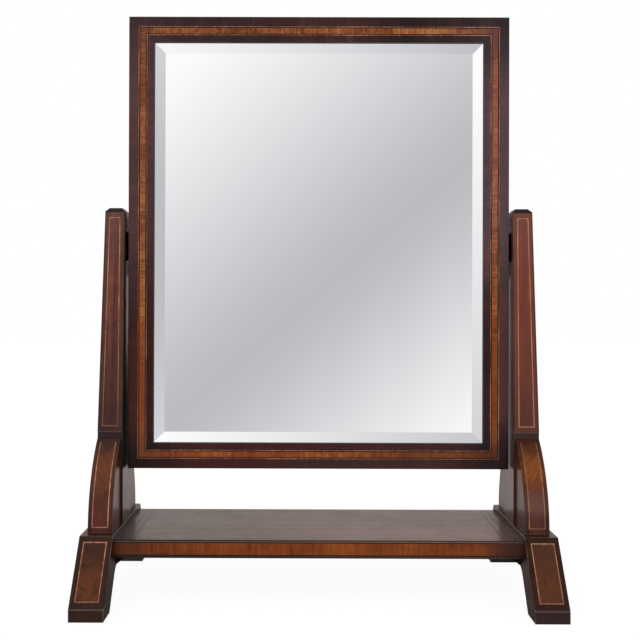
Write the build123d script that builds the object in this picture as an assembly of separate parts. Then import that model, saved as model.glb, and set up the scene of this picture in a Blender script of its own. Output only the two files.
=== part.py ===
from build123d import *
import math
import os

# A swing mirror for a dressing table: a bevelled plate in an inlaid frame, hung between
# two tapered posts that stand on sledge feet, with a shelf between the feet.
# Millimetres. X runs to the right, Y to the back and Z up, from the floor at the middle
# of the stand. Right-hand pieces are modelled and their left-hand twins are mirrored.

# Mirror frame, and the bands let into its face from the outer edge inwards
frame_width = 429.0
frame_height = 509.5
frame_thickness = 20.0
frame_above_floor = 134.0
frame_edge_round = 0.8
outer_crossband = 10.9
outer_boxwood_line = 0.9
outer_ebony_line = 1.1
satinwood_width = 6.2
inner_ebony_line = 1.0
inner_boxwood_line = 0.9
inner_crossband = 7.7
inlay_depth = 1.2

# Rebates behind the frame's lip, and the corner keys
lip_thickness = 2.0
plate_rebate = 7.0
backboard_rebate = 15.0
mitre_key_leg = 22.0
mitre_key_thickness = 2.0
mitre_key_from_back = 8.0

# Plate, its blocks and the backboard
glass_thickness = 5.0
glass_edge_clearance = 0.75
bevel_seen = 12.6
bevel_drop = 1.8
seat_clearance = 0.05
backboard_thickness = 4.0
backboard_clearance = 0.4
glazing_block_length = 32.0
glazing_block_width = 7.0
glazing_blocks_per_side = 2
backboard_screws_per_stile = 4
backboard_screws_per_rail = 3

# Posts
swing_gap = 3.0
post_foot_width = 28.2
post_top_width = 22.4
post_foot_depth = 45.0
post_top_depth = 27.0
post_shoulder_height = 176.5
post_shoulder_chamfer = 0.8
post_neck_setback = 1.2
post_above_pivot = 37.5
post_edge_round = 0.6
tenon_width = 13.0
tenon_depth = 24.0
tenon_length = 22.0
cap_height = 5.0
cap_chamfer = 4.2
cap_spigot_radius = 4.0
cap_spigot_length = 6.0

# Brackets before and behind each post
bracket_thickness = 26.0
bracket_reach = 43.7
bracket_below_shoulder = 6.5

# Sledge feet
foot_inner_setback = 1.4
foot_width = 35.2
foot_height = 75.0
rail_length = 154.0
foot_length = 244.0
toe_height = 12.5
toe_sole_length = 29.5
arch_height = 40.7
arch_round = 18.0

# Shelf and its edge
shelf_drop = 5.6
shelf_thickness = 18.2
shelf_depth = 147.0
shelf_band_height = 12.2
shelf_band_below_top = 2.4
shelf_band_thickness = 1.5
shelf_ebony_line = 1.0
shelf_line_width = 0.8
shelf_lines_from_end = (11.0, 19.0)
glue_block_height = 11.0
glue_block_width = 14.0
glue_block_length = 45.0
glue_block_from_middle = 35.0

# Stringing on the front faces of posts, brackets and feet
string_width = 1.1
post_string_outer_inset = 4.8
post_string_inner_inset = 5.2
post_string_top_inset = 5.7
post_string_foot_inset = 6.5
bracket_string_inset = 4.1
bracket_string_foot_inset = 5.6
bracket_string_top_inset = 4.0
foot_string_outer_inset = 5.0
foot_string_inner_inset = 5.4
foot_string_top_drop = 5.0
foot_string_toe_rise = 6.0

# Pivots: a spindle on each frame plate turns in the bush of a post plate
pivot_below_middle = 4.0
plate_length = 70.0
post_plate_width = 16.0
frame_plate_width = 14.0
plate_thickness = 2.0
boss_length = 34.0
boss_width = 20.0
boss_height = 2.2
boss_edge = 0.6
boss_slope = 3.2
bush_radius = 6.0
bush_length = 14.0
spindle_radius = 4.0
spindle_clearance = 0.05
spindle_end_gap = 1.5
washer_radius = 6.5
washer_running_gap = 0.3
plate_screw_spacing = 54.0

# Screws and dowels
wood_fit = 0.03
plate_screw_head_radius = 3.2
plate_screw_head_height = 1.7
plate_screw_radius = 1.6
plate_screw_length = 15.0
back_screw_head_radius = 2.4
back_screw_head_height = 1.4
back_screw_radius = 1.2
back_screw_length = 10.0
screw_slot_width = 0.7
screw_slot_depth = 0.6
shelf_dowel_radius = 4.0
shelf_dowel_length = 30.0
shelf_dowel_places = (-54.0, -20.0, 20.0, 54.0)
bracket_dowel_radius = 3.0
bracket_dowel_length = 24.0
bracket_dowel_reach = 15.5
bracket_dowel_height = 40.0

# Places worked out from the sizes above
half_width = frame_width / 2
frame_front = -frame_thickness / 2
frame_back = frame_thickness / 2
frame_foot = frame_above_floor
frame_top = frame_above_floor + frame_height
frame_middle = (frame_foot + frame_top) / 2
pivot_height = frame_middle - pivot_below_middle
post_height = pivot_height + post_above_pivot
band_widths = (outer_boxwood_line, outer_ebony_line, satinwood_width, inner_ebony_line, inner_boxwood_line)
frame_border = outer_crossband + sum(band_widths) + inner_crossband
lip_back = frame_front + lip_thickness
ledge_back = frame_back - backboard_thickness
bevel_width = bevel_seen + plate_rebate - glass_edge_clearance
glass_front = lip_back - bevel_drop * bevel_seen / bevel_width + seat_clearance
glass_back = glass_front + glass_thickness

post_inner = half_width + swing_gap
post_outer_foot = post_inner + post_foot_width
post_outer_top = post_inner + post_top_width
post_front_foot = post_foot_depth / 2
post_front_top = post_top_depth / 2
neck_front = post_front_foot - post_neck_setback
bracket_rise = post_shoulder_height - foot_height - bracket_below_shoulder
bracket_outer = post_outer_foot
bracket_inner = bracket_outer - bracket_thickness
bracket_front = neck_front + bracket_reach
bracket_middle = (bracket_inner + bracket_outer) / 2
foot_inner = post_inner - foot_inner_setback
foot_outer = foot_inner + foot_width
rail_front = rail_length / 2
toe_front = foot_length / 2
foot_rake = (toe_front - rail_front) / (foot_height - toe_height)
shelf_top = foot_height - shelf_drop
shelf_foot = shelf_top - shelf_thickness
shelf_front = shelf_depth / 2
shelf_dowel_height = (shelf_top + shelf_foot) / 2
margin = 5.0
same_place = 0.01


def block(x0, x1, y0, y1, z0, z1):
    middle = Pos((x0 + x1) / 2, (y0 + y1) / 2, (z0 + z1) / 2)
    return middle * Box(x1 - x0, y1 - y0, z1 - z0)


def prism_along_y(points, y0, y1):
    outline = Polyline(*[(x, y0, z) for x, z in points], close=True)
    return extrude(make_face(outline), amount=y1 - y0, dir=(0, 1, 0))


def prism_along_x(points, x0, x1):
    outline = Polyline(*[(x0, y, z) for y, z in points], close=True)
    return extrude(make_face(outline), amount=x1 - x0, dir=(1, 0, 0))


def rod_along_x(x0, x1, y, z, radius):
    return Pos((x0 + x1) / 2, y, z) * Rot(0, 90, 0) * Cylinder(radius, x1 - x0)


def rod_along_y(y0, y1, x, z, radius):
    return Pos(x, (y0 + y1) / 2, z) * Rot(90, 0, 0) * Cylinder(radius, y1 - y0)


def rod_along_z(z0, z1, x, y, radius):
    return Pos(x, y, (z0 + z1) / 2) * Cylinder(radius, z1 - z0)


def oblong(x0, x1, length, width):
    # A plate with round ends, standing at the pivot height
    reach = (length - width) / 2
    plate = block(x0, x1, -width / 2, width / 2, pivot_height - reach, pivot_height + reach)
    for side in (-1, 1):
        plate += rod_along_x(x0, x1, 0, pivot_height + side * reach, width / 2)
    return plate


def twin(piece):
    return mirror(piece, about=Plane.YZ)


def behind(piece):
    return mirror(piece, about=Plane.XZ)


def let_in(body, strips):
    # Strips sunk into the body's front surface, following its slope or curve
    skin = body - Pos(0, inlay_depth, 0) * body
    lines = [strip & skin for strip in strips]
    for line in lines:
        body -= line
    return body, lines


def screw(head_radius, head_height, radius, length):
    # Countersunk and slotted, with its head's face at the origin and its tip below
    head = Pos(0, 0, -head_height / 2) * Cone(radius, head_radius, head_height)
    shank = Pos(0, 0, -(head_height + length) / 2) * Cylinder(radius, length - head_height)
    slot = Box(2 * head_radius + margin, screw_slot_width, 2 * screw_slot_depth)
    return head + shank - slot


def screw_hole(head_radius, head_height, radius, length):
    head = Pos(0, 0, -head_height / 2) * Cone(radius + wood_fit, head_radius + wood_fit, head_height)
    shank = Pos(0, 0, -length / 2) * Cylinder(radius + wood_fit, length + 2 * wood_fit)
    return head + shank


plate_screw_sizes = (plate_screw_head_radius, plate_screw_head_height, plate_screw_radius, plate_screw_length)
back_screw_sizes = (back_screw_head_radius, back_screw_head_height, back_screw_radius, back_screw_length)


# Mirror frame

def frame_slab(inset, y0, y1):
    return block(-half_width + inset, half_width - inset, y0, y1, frame_foot + inset, frame_top - inset)


def frame_ring(outer_inset, inner_inset, y0, y1):
    return frame_slab(outer_inset, y0, y1) - frame_slab(inner_inset, y0 - margin, y1 + margin)


def mitre_wedges():
    reach = frame_border + margin
    left, right = -half_width - margin, half_width + margin
    low, high = frame_foot - margin, frame_top + margin
    run = reach + margin
    outlines = {
        "top_rail": [(left, high), (right, high), (right - run, high - run), (left + run, high - run)],
        "bottom_rail": [(left, low), (right, low), (right - run, low + run), (left + run, low + run)],
        "left_stile": [(left, low), (left, high), (left + run, high - run), (left + run, low + run)],
        "right_stile": [(right, low), (right, high), (right - run, high - run), (right - run, low + run)],
    }
    return {name: prism_along_y(points, frame_front - margin, frame_back + margin)
            for name, points in outlines.items()}


def mitre_keys():
    keys = []
    y0 = frame_back - mitre_key_from_back - mitre_key_thickness
    for side in (-1, 1):
        for corner, turn in ((frame_foot, 1), (frame_top, -1)):
            x = side * half_width
            points = [(x, corner), (x - side * mitre_key_leg, corner), (x, corner + turn * mitre_key_leg)]
            keys.append(prism_along_y(points, y0, y0 + mitre_key_thickness))
    return keys


def back_screw_places():
    inset = frame_border - (plate_rebate + backboard_rebate) / 2
    places = []
    for side in (-1, 1):
        for i in range(backboard_screws_per_stile):
            share = (i + 0.5) / backboard_screws_per_stile
            z = frame_foot + inset + share * (frame_height - 2 * inset)
            places.append((side * (half_width - inset), z))
    for z in (frame_foot + inset, frame_top - inset):
        for i in range(backboard_screws_per_rail):
            share = (i + 0.5) / backboard_screws_per_rail
            places.append((-half_width + inset + share * (frame_width - 2 * inset), z))
    return places


def at_back_screws(shape):
    return [Pos(x, frame_back, z) * Rot(-90, 0, 0) * shape for x, z in back_screw_places()]


def plate_screw_heights():
    return [pivot_height + side * plate_screw_spacing / 2 for side in (-1, 1)]


def at_frame_plate_screws(shape):
    return [Pos(half_width, 0, z) * Rot(0, 90, 0) * shape for z in plate_screw_heights()]


def at_post_plate_screws(shape):
    return [Pos(post_inner, 0, z) * Rot(0, -90, 0) * shape for z in plate_screw_heights()]


def frame_members():
    wood = frame_slab(0, frame_front, frame_back)
    wood = fillet(wood.faces().sort_by(Axis.Y)[0].edges(), frame_edge_round)
    wood -= frame_slab(frame_border, frame_front - margin, frame_back + margin)
    wood -= frame_slab(frame_border - plate_rebate, lip_back, frame_back + margin)
    wood -= frame_slab(frame_border - backboard_rebate, ledge_back, frame_back + margin)
    channel_end = outer_crossband + sum(band_widths)
    wood -= frame_ring(outer_crossband, channel_end, frame_front - margin, frame_front + inlay_depth)
    for key in mitre_keys():
        wood -= key
    for hole in at_back_screws(screw_hole(*back_screw_sizes)):
        wood -= hole
    recess = oblong(half_width - plate_thickness, half_width + margin, plate_length, frame_plate_width)
    for hole in [recess] + at_frame_plate_screws(screw_hole(*plate_screw_sizes)):
        wood -= hole
        wood -= twin(hole)
    return {"frame_" + name: wood & wedge for name, wedge in mitre_wedges().items()}


def mitred_strips(outer_inset, inner_inset, y0, y1):
    # Four strips round the frame that meet corner to corner at the mitres
    rings = []
    for inset in (outer_inset, inner_inset):
        left, right = -half_width + inset, half_width - inset
        low, high = frame_foot + inset, frame_top - inset
        rings.append([(left, low), (right, low), (right, high), (left, high)])
    outer, inner = rings
    strips = []
    for corner in range(4):
        following = (corner + 1) % 4
        points = [outer[corner], outer[following], inner[following], inner[corner]]
        strips.append(prism_along_y(points, y0, y1))
    return strips


def frame_bands():
    names = ("outer_boxwood_line", "outer_ebony_line", "satinwood_band", "inner_ebony_line", "inner_boxwood_line")
    bands = {}
    start = outer_crossband
    for name, width in zip(names, band_widths):
        bands[name] = mitred_strips(start, start + width, frame_front, frame_front + inlay_depth)
        start += width
    return bands


def mirror_glass():
    edge_inset = frame_border - plate_rebate + glass_edge_clearance
    field_inset = edge_inset + bevel_width
    bevel_foot = glass_front + bevel_drop
    outlines = []
    for inset, y in ((edge_inset, bevel_foot), (field_inset, glass_front)):
        plane = Plane(origin=(0, y, frame_middle), x_dir=(1, 0, 0), z_dir=(0, -1, 0))
        outlines.append(plane * Rectangle(frame_width - 2 * inset, frame_height - 2 * inset))
    return loft(outlines, ruled=True) + frame_slab(edge_inset, bevel_foot, glass_back)


def glazing_blocks():
    inset = frame_border - plate_rebate
    inner = inset + glazing_block_width
    y0, y1 = glass_back, ledge_back
    half = glazing_block_length / 2
    blocks = []
    for i in range(glazing_blocks_per_side):
        share = (i + 0.5) / glazing_blocks_per_side
        x = -half_width + share * frame_width
        z = frame_foot + share * frame_height
        blocks.append(block(x - half, x + half, y0, y1, frame_foot + inset, frame_foot + inner))
        blocks.append(block(x - half, x + half, y0, y1, frame_top - inner, frame_top - inset))
        blocks.append(block(-half_width + inset, -half_width + inner, y0, y1, z - half, z + half))
        blocks.append(block(half_width - inner, half_width - inset, y0, y1, z - half, z + half))
    return blocks


def backboard():
    inset = frame_border - backboard_rebate + backboard_clearance
    board = frame_slab(inset, ledge_back, frame_back)
    for hole in at_back_screws(screw_hole(*back_screw_sizes)):
        board -= hole
    return board


def frame_plate():
    plate = oblong(half_width - plate_thickness, half_width, plate_length, frame_plate_width)
    for hole in at_frame_plate_screws(screw_hole(*plate_screw_sizes)):
        plate -= hole
    spindle_end = post_inner + bush_length - spindle_end_gap
    return plate + rod_along_x(half_width - plate_thickness, spindle_end, 0, pivot_height, spindle_radius)


def friction_washer():
    outer_face = post_inner - boss_height - washer_running_gap
    washer = rod_along_x(half_width, outer_face, 0, pivot_height, washer_radius)
    hole_radius = spindle_radius + spindle_clearance
    return washer - rod_along_x(half_width - margin, outer_face + margin, 0, pivot_height, hole_radius)


# Posts and their plates

def shoulder_chamfer():
    # Takes the arris off the shaft's lower front edge
    low, high = post_shoulder_height - margin, post_shoulder_height + post_shoulder_chamfer + margin
    front = -post_front_foot - margin
    points = [(front, low), (front, high), (front + high - low, low)]
    return prism_along_x(points, post_inner - margin, post_outer_foot + margin)


def post_blank():
    # A square neck between the brackets, and above it a shaft that tapers outside and front to back
    front = [(post_inner, post_shoulder_height), (post_outer_foot, post_shoulder_height),
             (post_outer_top, post_height), (post_inner, post_height)]
    side = [(-post_front_foot, post_shoulder_height), (post_front_foot, post_shoulder_height),
            (post_front_top, post_height), (-post_front_top, post_height)]
    deep = prism_along_y(front, -post_foot_depth, post_foot_depth)
    wide = prism_along_x(side, post_inner - margin, post_outer_foot + margin)
    shaft = deep & wide
    long_edges = [edge for edge in shaft.edges() if edge.bounding_box().size.Z > margin]
    shaft = fillet(long_edges, post_edge_round) - shoulder_chamfer() - behind(shoulder_chamfer())
    return shaft + block(post_inner, post_outer_foot, -neck_front, neck_front, foot_height, post_shoulder_height)


def post_strips():
    slope = (post_outer_foot - post_outer_top) / (post_height - post_shoulder_height)
    low = post_shoulder_height + post_string_foot_inset
    high = post_height - post_string_top_inset
    inner = post_inner + post_string_inner_inset

    def outer_at(z):
        return post_outer_foot - slope * (z - post_shoulder_height) - post_string_outer_inset

    def bar(z0, z1):
        return [(inner, z0), (outer_at(z0), z0), (outer_at(z1), z1), (inner, z1)]

    side_low, side_high = low + string_width, high - string_width
    outlines = [
        bar(low, side_low),
        bar(side_high, high),
        [(inner, side_low), (inner + string_width, side_low),
         (inner + string_width, side_high), (inner, side_high)],
        [(outer_at(side_low) - string_width, side_low), (outer_at(side_low), side_low),
         (outer_at(side_high), side_high), (outer_at(side_high) - string_width, side_high)],
    ]
    return [prism_along_y(points, -post_foot_depth, 0) for points in outlines]


def post_cap():
    cap = block(post_inner, post_outer_top, -post_front_top, post_front_top, post_height, post_height + cap_height)
    cap = chamfer(cap.faces().sort_by(Axis.Z)[-1].edges(), cap_chamfer)
    middle = (post_inner + post_outer_top) / 2
    return cap + rod_along_z(post_height - cap_spigot_length, post_height, middle, 0, cap_spigot_radius)


def tenon(fit=0.0):
    half_width_in_foot = tenon_width / 2 + fit
    half_depth_in_foot = tenon_depth / 2 + fit
    return block(bracket_middle - half_width_in_foot, bracket_middle + half_width_in_foot,
                 -half_depth_in_foot, half_depth_in_foot, foot_height - tenon_length - fit, foot_height)


def boss_slopes():
    # The raised middle of the plate, sloping on all sides to the flat that the washer bears on
    outlines = []
    for x, inset in ((post_inner - boss_edge, 0), (post_inner - boss_height, boss_slope)):
        plane = Plane(origin=(x, 0, pivot_height), x_dir=(0, 0, 1), z_dir=(-1, 0, 0))
        outlines.append(plane * SlotOverall(boss_length - 2 * inset, boss_width - 2 * inset))
    return loft(outlines, ruled=True)


def post_plate():
    plate = oblong(post_inner, post_inner + plate_thickness, plate_length, post_plate_width)
    plate += oblong(post_inner - boss_edge, post_inner, boss_length, boss_width)
    plate += boss_slopes()
    plate += rod_along_x(post_inner, post_inner + bush_length, 0, pivot_height, bush_radius)
    bore = spindle_radius + spindle_clearance
    plate -= rod_along_x(post_inner - margin, post_inner + bush_length + margin, 0, pivot_height, bore)
    for hole in at_post_plate_screws(screw_hole(*plate_screw_sizes)):
        plate -= hole
    return plate


def post():
    body, lines = let_in(post_blank(), post_strips())
    body += tenon()
    body -= oblong(post_inner - margin, post_inner + plate_thickness, plate_length, post_plate_width)
    body -= rod_along_x(post_inner, post_inner + bush_length, 0, pivot_height, bush_radius + wood_fit)
    middle = (post_inner + post_outer_top) / 2
    spigot_foot = post_height - cap_spigot_length - wood_fit
    body -= rod_along_z(spigot_foot, post_height, middle, 0, cap_spigot_radius + wood_fit)
    for hole in at_post_plate_screws(screw_hole(*plate_screw_sizes)) + bracket_dowels(wood_fit):
        body -= hole
    return body, lines


# Brackets

def bracket_blank():
    radius = (bracket_reach ** 2 + bracket_rise ** 2) / (2 * bracket_reach)
    half_sweep = math.asin(bracket_rise / radius) / 2
    centre_y = radius - bracket_front
    low = (bracket_inner, -bracket_front, foot_height)
    bend = (bracket_inner, centre_y - radius * math.cos(half_sweep), foot_height + radius * math.sin(half_sweep))
    high = (bracket_inner, -neck_front, foot_height + bracket_rise)
    back = (bracket_inner, -neck_front, foot_height)
    outline = ThreePointArc(low, bend, high) + Line(high, back) + Line(back, low)
    return extrude(make_face(outline), amount=bracket_thickness, dir=(1, 0, 0))


def bracket_strips():
    inner, outer = bracket_inner + bracket_string_inset, bracket_outer - bracket_string_inset
    low = foot_height + bracket_string_foot_inset
    high = foot_height + bracket_rise - bracket_string_top_inset
    y0, y1 = -bracket_front - margin, -neck_front
    return [
        block(inner, outer, y0, y1, low, low + string_width),
        block(inner, inner + string_width, y0, y1, low + string_width, high),
        block(outer - string_width, outer, y0, y1, low + string_width, high),
    ]


def bracket_dowels(fit=0.0):
    # One dowel down into the foot and one back into the post, for each bracket
    half = bracket_dowel_length / 2 + fit
    radius = bracket_dowel_radius + fit
    dowels = []
    for side in (-1, 1):
        y = side * (neck_front + bracket_dowel_reach)
        dowels.append(rod_along_z(foot_height - half, foot_height + half, bracket_middle, y, radius))
        face = side * neck_front
        height = foot_height + bracket_dowel_height
        dowels.append(rod_along_y(face - half, face + half, bracket_middle, height, radius))
    return dowels


def brackets():
    blank = bracket_blank()
    front, lines = let_in(blank, bracket_strips())
    rear = behind(blank)
    for hole in bracket_dowels(wood_fit):
        front -= hole
        rear -= hole
    return front, rear, lines


# Sledge feet

def foot_blank():
    sole_end = toe_front - toe_sole_length
    arch_end = sole_end - foot_rake * arch_height
    half = [(toe_front, 0), (toe_front, toe_height), (rail_front, foot_height)]
    under = [(arch_end, arch_height), (sole_end, 0)]
    outline = [(-y, z) for y, z in half] + half[::-1] + under[::-1] + [(-y, z) for y, z in under]
    blank = prism_along_x(outline, foot_inner, foot_outer)
    corner = Vector(arch_end, arch_height)
    corners = [edge for edge in blank.edges()
               if (Vector(abs(edge.center().Y), edge.center().Z) - corner).length < same_place]
    return fillet(corners, arch_round)


def foot_strips():
    inner, outer = foot_inner + foot_string_inner_inset, foot_outer - foot_string_outer_inset
    low, high = toe_height + foot_string_toe_rise, foot_height - foot_string_top_drop
    y0, y1 = -toe_front - margin, -rail_front + margin
    side_low, side_high = low + string_width, high - string_width
    return [
        block(inner, outer, y0, y1, low, side_low),
        block(inner, outer, y0, y1, side_high, high),
        block(inner, inner + string_width, y0, y1, side_low, side_high),
        block(outer - string_width, outer, y0, y1, side_low, side_high),
    ]


def sledge_foot():
    body, lines = let_in(foot_blank(), foot_strips())
    for hole in [tenon(wood_fit)] + bracket_dowels(wood_fit) + shelf_dowels(wood_fit):
        body -= hole
    return body, lines


# Shelf

def shelf_dowels(fit=0.0):
    half = shelf_dowel_length / 2 + fit
    return [rod_along_x(foot_inner - half, foot_inner + half, y, shelf_dowel_height, shelf_dowel_radius + fit)
            for y in shelf_dowel_places]


def shelf_edge_pieces():
    high = shelf_top - shelf_band_below_top
    low = high - shelf_band_height
    back = -shelf_front + shelf_band_thickness
    band = block(-foot_inner, foot_inner, -shelf_front, back, low, high)
    lines = [block(-foot_inner, foot_inner, -shelf_front, back, high, high + shelf_ebony_line),
             block(-foot_inner, foot_inner, -shelf_front, back, low - shelf_ebony_line, low)]
    return band, lines


def shelf_top_lines():
    lines = []
    for side in (-1, 1):
        for distance in shelf_lines_from_end:
            x = side * (foot_inner - distance)
            half = shelf_line_width / 2
            lines.append(block(x - half, x + half, -shelf_front, shelf_front, shelf_top - inlay_depth, shelf_top))
    return lines


def shelf_board():
    board = block(-foot_inner, foot_inner, -shelf_front, shelf_front, shelf_foot, shelf_top)
    band, lines = shelf_edge_pieces()
    for cut in [band] + lines + shelf_top_lines():
        board -= cut
    for dowel in shelf_dowels(wood_fit):
        board -= dowel
        board -= twin(dowel)
    return board


def glue_blocks():
    low, high = shelf_foot - glue_block_height, shelf_foot
    points = [(foot_inner, high), (foot_inner - glue_block_width, high), (foot_inner, low)]
    blocks = []
    for side in (-1, 1):
        y = side * glue_block_from_middle
        blocks.append(prism_along_y(points, y - glue_block_length / 2, y + glue_block_length / 2))
    return blocks


# Each node's name and its solids

def pairs(name, pieces):
    return {"left_" + name: [twin(piece) for piece in pieces], "right_" + name: pieces}


def both_sides(pieces):
    return pieces + [twin(piece) for piece in pieces]


def stand_nodes():
    foot, foot_lines = sledge_foot()
    post_body, post_lines = post()
    front_bracket, rear_bracket, bracket_lines = brackets()
    band, edge_lines = shelf_edge_pieces()
    nodes = {}
    nodes.update(pairs("sledge_foot", [foot]))
    nodes.update(pairs("foot_stringing", foot_lines))
    nodes.update(pairs("post", [post_body]))
    nodes.update(pairs("post_stringing", post_lines))
    nodes.update(pairs("post_cap", [post_cap()]))
    nodes.update(pairs("front_bracket", [front_bracket]))
    nodes.update(pairs("rear_bracket", [rear_bracket]))
    nodes.update(pairs("bracket_stringing", bracket_lines))
    nodes.update(pairs("post_plate", [post_plate()]))
    nodes["post_plate_screws"] = both_sides(at_post_plate_screws(screw(*plate_screw_sizes)))
    nodes["bracket_dowels"] = both_sides(bracket_dowels())
    nodes["shelf_board"] = [shelf_board()]
    nodes["shelf_satinwood_band"] = [band]
    nodes["shelf_edge_lines"] = edge_lines
    nodes["shelf_top_lines"] = shelf_top_lines()
    nodes["shelf_dowels"] = both_sides(shelf_dowels())
    nodes["shelf_glue_blocks"] = both_sides(glue_blocks())
    return nodes


def mirror_nodes():
    nodes = {name: [member] for name, member in frame_members().items()}
    nodes.update(frame_bands())
    nodes.update(pairs("frame_plate", [frame_plate()]))
    nodes["frame_plate_screws"] = both_sides(at_frame_plate_screws(screw(*plate_screw_sizes)))
    nodes["friction_washers"] = both_sides([friction_washer()])
    nodes["mitre_keys"] = mitre_keys()
    nodes["mirror_glass"] = [mirror_glass()]
    nodes["glazing_blocks"] = glazing_blocks()
    nodes["backboard"] = [backboard()]
    nodes["backboard_screws"] = at_back_screws(screw(*back_screw_sizes))
    return nodes


os.makedirs("parts", exist_ok=True)
for node_name, pieces in {**stand_nodes(), **mirror_nodes()}.items():
    solids = [solid for piece in pieces for solid in piece.solids()]
    export_step(Compound(solids), f"parts/{node_name}.step")
    print(node_name, len(solids), "solids")
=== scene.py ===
import math

import bpy
from mathutils import Matrix, Vector


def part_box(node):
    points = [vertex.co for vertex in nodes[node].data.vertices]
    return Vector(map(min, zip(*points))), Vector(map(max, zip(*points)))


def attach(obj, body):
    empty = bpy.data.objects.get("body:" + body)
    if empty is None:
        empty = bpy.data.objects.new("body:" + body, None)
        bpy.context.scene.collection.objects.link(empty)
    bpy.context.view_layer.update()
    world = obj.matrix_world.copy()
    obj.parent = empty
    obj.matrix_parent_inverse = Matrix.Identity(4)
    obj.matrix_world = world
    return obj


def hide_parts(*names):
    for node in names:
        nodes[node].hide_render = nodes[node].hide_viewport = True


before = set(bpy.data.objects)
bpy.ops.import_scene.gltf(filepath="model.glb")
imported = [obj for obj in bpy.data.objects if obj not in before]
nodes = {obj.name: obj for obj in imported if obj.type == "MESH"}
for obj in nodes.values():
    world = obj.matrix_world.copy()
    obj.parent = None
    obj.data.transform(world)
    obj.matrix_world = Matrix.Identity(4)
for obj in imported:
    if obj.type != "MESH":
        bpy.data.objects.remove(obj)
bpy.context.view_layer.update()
scene = bpy.context.scene
print("swing mirror loaded,", len(nodes), "CAD nodes")


def screenColour(red, green, blue):
    # colours are written as screen values 0-255 and used as linear light
    channels = []
    for level in (red, green, blue):
        share = level / 255
        channels.append(share / 12.92 if share <= 0.04045 else ((share + 0.055) / 1.055) ** 2.4)
    return (*channels, 1.0)


def feed(tree, socket, value):
    if isinstance(value, bpy.types.NodeSocket):
        tree.links.new(value, socket)
    elif value is not None:
        socket.default_value = value


def newNode(tree, kind, inputs=(), **settings):
    # each input, by label or number, gets a value or the output that feeds it
    node = tree.nodes.new(kind)
    for name, value in settings.items():
        setattr(node, name, value)
    for name, value in dict(inputs).items():
        feed(tree, node.inputs[name], value)
    return node


def calc(tree, operation, *values, clamp=False):
    return newNode(tree, "ShaderNodeMath", enumerate(values), operation=operation, use_clamp=clamp).outputs[0]


def times(tree, product, *factors):
    for factor in factors:
        product = calc(tree, "MULTIPLY", product, factor)
    return product


def inverse(tree, share):
    return calc(tree, "SUBTRACT", 1.0, share)


def mixed(tree, share, first, second):
    return calc(tree, "ADD", times(tree, first, inverse(tree, share)), times(tree, second, share))


def sway(tree, field, amount, level):
    # moves a level up and down with a field that lies about 0.5
    return calc(tree, "MULTIPLY_ADD", calc(tree, "SUBTRACT", field, 0.5), amount, level)


def rise(tree, value, low, high, bottom=0.0, top=1.0):
    # eases from bottom to top while the value goes from low to high
    return newNode(tree, "ShaderNodeMapRange", enumerate((value, low, high, bottom, top)),
                   interpolation_type="SMOOTHSTEP").outputs[0]


def between(tree, value, low, high, soft=0.0004):
    # 1 between low and high, 0 outside
    above = rise(tree, calc(tree, "SUBTRACT", value, low), -soft, soft)
    return times(tree, above, rise(tree, calc(tree, "SUBTRACT", high, value), -soft, soft))


def rightward(tree, x, onLeft=0.0, onRight=1.0):
    # one value on the left half of the object and another on the right half
    return rise(tree, x, -0.1, 0.1, onLeft, onRight)


def blendColour(tree, share, first, second):
    # a colour of three numbers is a screen colour
    colours = [screenColour(*colour) if isinstance(colour, tuple) and len(colour) == 3 else colour
               for colour in (first, second)]
    return newNode(tree, "ShaderNodeMix", {0: share, 6: colours[0], 7: colours[1]}, data_type="RGBA").outputs[2]


def stained(tree, colour, *layers):
    # lays each tone over the colour in its own share
    for share, tone in layers:
        colour = blendColour(tree, share, colour, tone)
    return colour


def blendPlace(tree, share, first, second):
    return newNode(tree, "ShaderNodeMix", {0: share, 4: first, 5: second}, data_type="VECTOR").outputs[1]


def stretched(tree, place, scale):
    return newNode(tree, "ShaderNodeMapping", {"Vector": place, "Scale": scale}).outputs[0]


def cloudy(tree, place, scale, detail=3.0, roughness=0.5, distortion=0.0):
    return newNode(tree, "ShaderNodeTexNoise", {
        "Vector": place, "Scale": scale, "Detail": detail, "Roughness": roughness,
        "Distortion": distortion}).outputs[0]


def chequer(tree, value, length, shift=0.0):
    # a different random level for each piece of veneer along a run
    step = calc(tree, "FLOOR", calc(tree, "MULTIPLY_ADD", value, 1.0 / length, shift))
    return newNode(tree, "ShaderNodeTexWhiteNoise", {"W": step}, noise_dimensions="1D").outputs[0]


def newFinish(name):
    material = bpy.data.materials.new(name)
    material.use_nodes = True
    tree = material.node_tree
    shader = tree.nodes["Principled BSDF"]
    coordinates = tree.nodes.new("ShaderNodeTexCoord")
    return material, tree, shader, coordinates.outputs["Object"]


def splitPlace(tree, place, axes="XYZ"):
    node = newNode(tree, "ShaderNodeSeparateXYZ", {0: place})
    return [node.outputs[axis] for axis in axes]


def joinPlace(tree, x=None, y=None, z=None):
    return newNode(tree, "ShaderNodeCombineXYZ", {"X": x, "Y": y, "Z": z}).outputs[0]


def turnedAlong(tree, place, fibres):
    # the fibres always run along the third axis of what this returns
    x, y, z = splitPlace(tree, place)
    order = {"X": (y, z, x), "Y": (z, x, y), "Z": (x, y, z)}[fibres]
    return joinPlace(tree, *order)


def arris(tree, radius):
    # rounded normal at the edges, and how strongly each spot is an edge
    soft = newNode(tree, "ShaderNodeBevel", {"Radius": radius}, samples=6).outputs[0]
    flat = newNode(tree, "ShaderNodeNewGeometry").outputs["True Normal"]
    facing = newNode(tree, "ShaderNodeVectorMath", {0: soft, 1: flat}, operation="DOT_PRODUCT").outputs["Value"]
    return soft, rise(tree, facing, 0.985, 0.80)


def raised(tree, shader, height, depth, normal=None, strength=0.5):
    bump = newNode(tree, "ShaderNodeBump", {
        "Strength": strength, "Distance": depth, "Height": height, "Normal": normal})
    tree.links.new(bump.outputs[0], shader.inputs["Normal"])


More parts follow.
